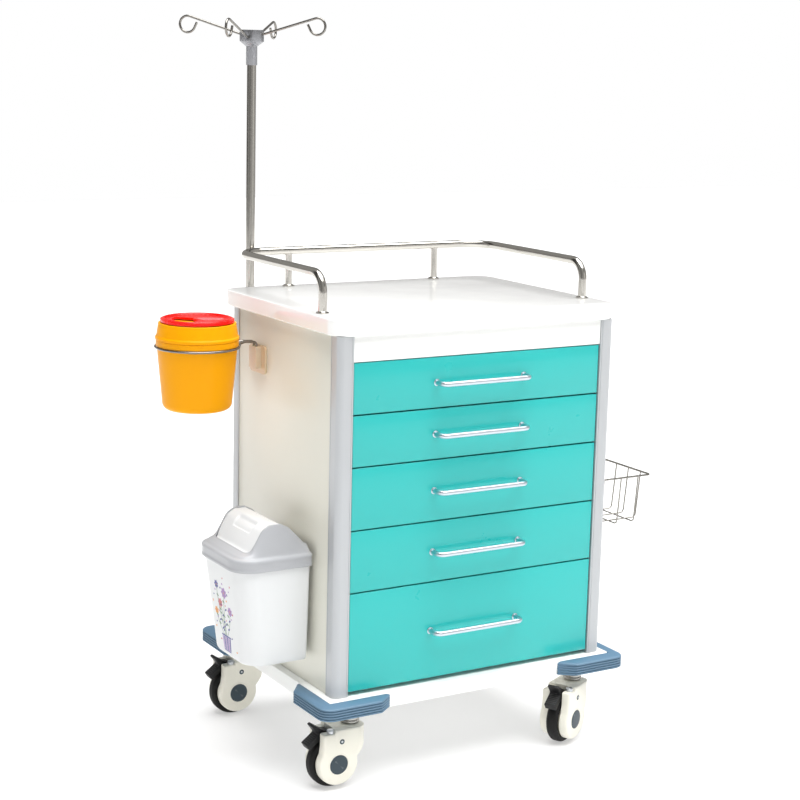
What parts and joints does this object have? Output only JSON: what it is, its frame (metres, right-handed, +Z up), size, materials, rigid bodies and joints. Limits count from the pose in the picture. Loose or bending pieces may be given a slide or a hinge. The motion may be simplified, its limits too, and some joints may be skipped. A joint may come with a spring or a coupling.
{
  "type": "hospital crash cart",
  "caption": "Post-and-panel hospital crash cart with drawers, guard rail, infusion pole, sharps container, waste bin, wire basket and swivel casters.",
  "frame": {"origin": "bottom centre of the cart's box, on the floor", "axes": "+Z up, -Y the drawer side, +X the viewer's right when facing the drawers"},
  "size_m": [0.976, 0.6364, 1.411],
  "materials": {
    "white_enamel": "smooth powder coat",
    "white_worktop_plastic": "moulded, glossy",
    "cream_enamel": "smooth powder coat",
    "teal_enamel": "glossy enamel",
    "zinc_plated_steel": "bright zinc plating",
    "stainless_steel": "polished",
    "satin_aluminium": "satin anodised",
    "cast_metal": "rough cast",
    "blue_grey_plastic": "moulded, ribbed",
    "cream_plastic": "moulded",
    "black_tyre": "smooth tread",
    "black_plastic": "moulded",
    "beige_plastic": "moulded",
    "yellow_plastic": "moulded, slightly translucent",
    "red_plastic": "moulded",
    "grey_plastic": "moulded",
    "white_plastic": "moulded"
  },
  "bodies": {
    "cart": {"worktop": "white_worktop_plastic", "base_deck": "white_enamel", "front_left_post": "satin_aluminium", "front_right_post": "satin_aluminium", "rear_right_post": "satin_aluminium", "rear_left_post": "satin_aluminium", "front_left_bumper": "blue_grey_plastic", "front_right_bumper": "blue_grey_plastic", "rear_right_bumper": "blue_grey_plastic", "rear_left_bumper": "blue_grey_plastic", "left_side_panel": "cream_enamel", "right_side_panel": "cream_enamel", "back_panel": "cream_enamel", "top_fascia": "white_enamel", "left_slide_frame": "zinc_plated_steel", "right_slide_frame": "zinc_plated_steel", "guard_rail": "stainless_steel", "iv_pole_bracket": "white_enamel", "sharps_bracket": "beige_plastic", "sharps_ring": "stainless_steel", "bin_hanger": "zinc_plated_steel", "wire_basket": "stainless_steel"},
    "drawer_1": {"drawer_1_front": "teal_enamel", "drawer_1_box": "zinc_plated_steel", "drawer_1_handle": "stainless_steel"},
    "drawer_2": {"drawer_2_front": "teal_enamel", "drawer_2_box": "zinc_plated_steel", "drawer_2_handle": "stainless_steel"},
    "drawer_3": {"drawer_3_front": "teal_enamel", "drawer_3_box": "zinc_plated_steel", "drawer_3_handle": "stainless_steel"},
    "drawer_4": {"drawer_4_front": "teal_enamel", "drawer_4_box": "zinc_plated_steel", "drawer_4_handle": "stainless_steel"},
    "drawer_5": {"drawer_5_front": "teal_enamel", "drawer_5_box": "zinc_plated_steel", "drawer_5_handle": "stainless_steel"},
    "front_left_caster": {"front_left_caster_housing": "cream_plastic"},
    "front_left_wheel": {"front_left_caster_wheel": "black_tyre"},
    "front_left_brake": {"front_left_brake_pedal": "black_plastic"},
    "front_right_caster": {"front_right_caster_housing": "cream_plastic"},
    "front_right_wheel": {"front_right_caster_wheel": "black_tyre"},
    "front_right_brake": {"front_right_brake_pedal": "black_plastic"},
    "rear_right_caster": {"rear_right_caster_housing": "cream_plastic"},
    "rear_right_wheel": {"rear_right_caster_wheel": "black_tyre"},
    "rear_right_brake": {"rear_right_brake_pedal": "black_plastic"},
    "rear_left_caster": {"rear_left_caster_housing": "cream_plastic"},
    "rear_left_wheel": {"rear_left_caster_wheel": "black_tyre"},
    "rear_left_brake": {"rear_left_brake_pedal": "black_plastic"},
    "iv_pole": {"iv_pole": "stainless_steel", "iv_pole_hub": "cast_metal", "iv_hook_rod_lower": "stainless_steel", "iv_hook_rod_upper": "stainless_steel"},
    "clamp_knob": {"iv_clamp_knob": "black_plastic"},
    "sharps_container": {"sharps_bucket": "yellow_plastic", "sharps_lid": "yellow_plastic"},
    "sharps_cover": {"sharps_lid_disc": "red_plastic"},
    "bin": {"bin_body": "white_plastic"},
    "bin_cover": {"bin_lid": "grey_plastic"},
    "bin_swing": {"bin_flap": "white_plastic"}
  },
  "joints": [
    {"name": "drawer_1_slide", "type": "slide", "parent": "cart", "child": "drawer_1", "axis": [0, -1, 0], "range_m": [0, 0.34]},
    {"name": "drawer_2_slide", "type": "slide", "parent": "cart", "child": "drawer_2", "axis": [0, -1, 0], "range_m": [0, 0.34]},
    {"name": "drawer_3_slide", "type": "slide", "parent": "cart", "child": "drawer_3", "axis": [0, -1, 0], "range_m": [0, 0.34]},
    {"name": "drawer_4_slide", "type": "slide", "parent": "cart", "child": "drawer_4", "axis": [0, -1, 0], "range_m": [0, 0.34]},
    {"name": "drawer_5_slide", "type": "slide", "parent": "cart", "child": "drawer_5", "axis": [0, -1, 0], "range_m": [0, 0.34]},
    {"name": "front_left_swivel", "type": "hinge", "parent": "cart", "child": "front_left_caster", "pos_m": [-0.22972, -0.25723, 0.112], "axis": [0, 0, 1], "continuous": true},
    {"name": "front_left_wheel_spin", "type": "hinge", "parent": "front_left_caster", "child": "front_left_wheel", "pos_m": [-0.26772, -0.25723, 0.05], "axis": [0, 1, 0], "continuous": true},
    {"name": "front_left_brake_press", "type": "hinge", "parent": "front_left_caster", "child": "front_left_brake", "pos_m": [-0.28372, -0.25723, 0.1055], "axis": [0, -1, 0], "range_deg": [0, 8]},
    {"name": "front_right_swivel", "type": "hinge", "parent": "cart", "child": "front_right_caster", "pos_m": [0.28328, -0.25723, 0.112], "axis": [0, 0, 1], "continuous": true},
    {"name": "front_right_wheel_spin", "type": "hinge", "parent": "front_right_caster", "child": "front_right_wheel", "pos_m": [0.24943, -0.27448, 0.05], "axis": [-0.454, 0.891, 0], "continuous": true},
    {"name": "front_right_brake_press", "type": "hinge", "parent": "front_right_caster", "child": "front_right_brake", "pos_m": [0.23517, -0.28174, 0.1055], "axis": [0.454, -0.891, 0], "range_deg": [0, 8]},
    {"name": "rear_right_swivel", "type": "hinge", "parent": "cart", "child": "rear_right_caster", "pos_m": [0.28328, 0.16877, 0.112], "axis": [0, 0, 1], "continuous": true},
    {"name": "rear_right_wheel_spin", "type": "hinge", "parent": "rear_right_caster", "child": "rear_right_wheel", "pos_m": [0.24528, 0.16877, 0.05], "axis": [0, 1, 0], "continuous": true},
    {"name": "rear_right_brake_press", "type": "hinge", "parent": "rear_right_caster", "child": "rear_right_brake", "pos_m": [0.22928, 0.16877, 0.1055], "axis": [0, -1, 0], "range_deg": [0, 8]},
    {"name": "rear_left_swivel", "type": "hinge", "parent": "cart", "child": "rear_left_caster", "pos_m": [-0.22972, 0.16877, 0.112], "axis": [0, 0, 1], "continuous": true},
    {"name": "rear_left_wheel_spin", "type": "hinge", "parent": "rear_left_caster", "child": "rear_left_wheel", "pos_m": [-0.26772, 0.16877, 0.05], "axis": [0, 1, 0], "continuous": true},
    {"name": "rear_left_brake_press", "type": "hinge", "parent": "rear_left_caster", "child": "rear_left_brake", "pos_m": [-0.28372, 0.16877, 0.1055], "axis": [0, -1, 0], "range_deg": [0, 8]},
    {"name": "iv_pole_slide", "type": "slide", "parent": "cart", "child": "iv_pole", "axis": [0, 0, 1], "range_m": [-0.14, 0.28]},
    {"name": "clamp_knob_turn", "type": "hinge", "parent": "cart", "child": "clamp_knob", "pos_m": [-0.21472, 0.23477, 0.809], "axis": [0, 1, 0], "range_deg": [0, 180]},
    {"name": "sharps_lift", "type": "slide", "parent": "cart", "child": "sharps_container", "axis": [0, 0, 1], "range_m": [0, 0.2]},
    {"name": "sharps_cover_turn", "type": "hinge", "parent": "sharps_container", "child": "sharps_cover", "pos_m": [-0.40672, 0.04077, 0.836], "axis": [0, 0, 1], "range_deg": [0, 180]},
    {"name": "bin_lift", "type": "slide", "parent": "cart", "child": "bin", "axis": [0, 0, 1], "range_m": [0, 0.15]},
    {"name": "bin_cover_lift", "type": "slide", "parent": "bin", "child": "bin_cover", "axis": [0, 0, 1], "range_m": [0, 0.1]},
    {"name": "bin_flap_swing", "type": "hinge", "parent": "bin_cover", "child": "bin_swing", "pos_m": [-0.35222, -0.11223, 0.481], "axis": [0, 1, 0], "range_deg": [-50, 50]}
  ]
}
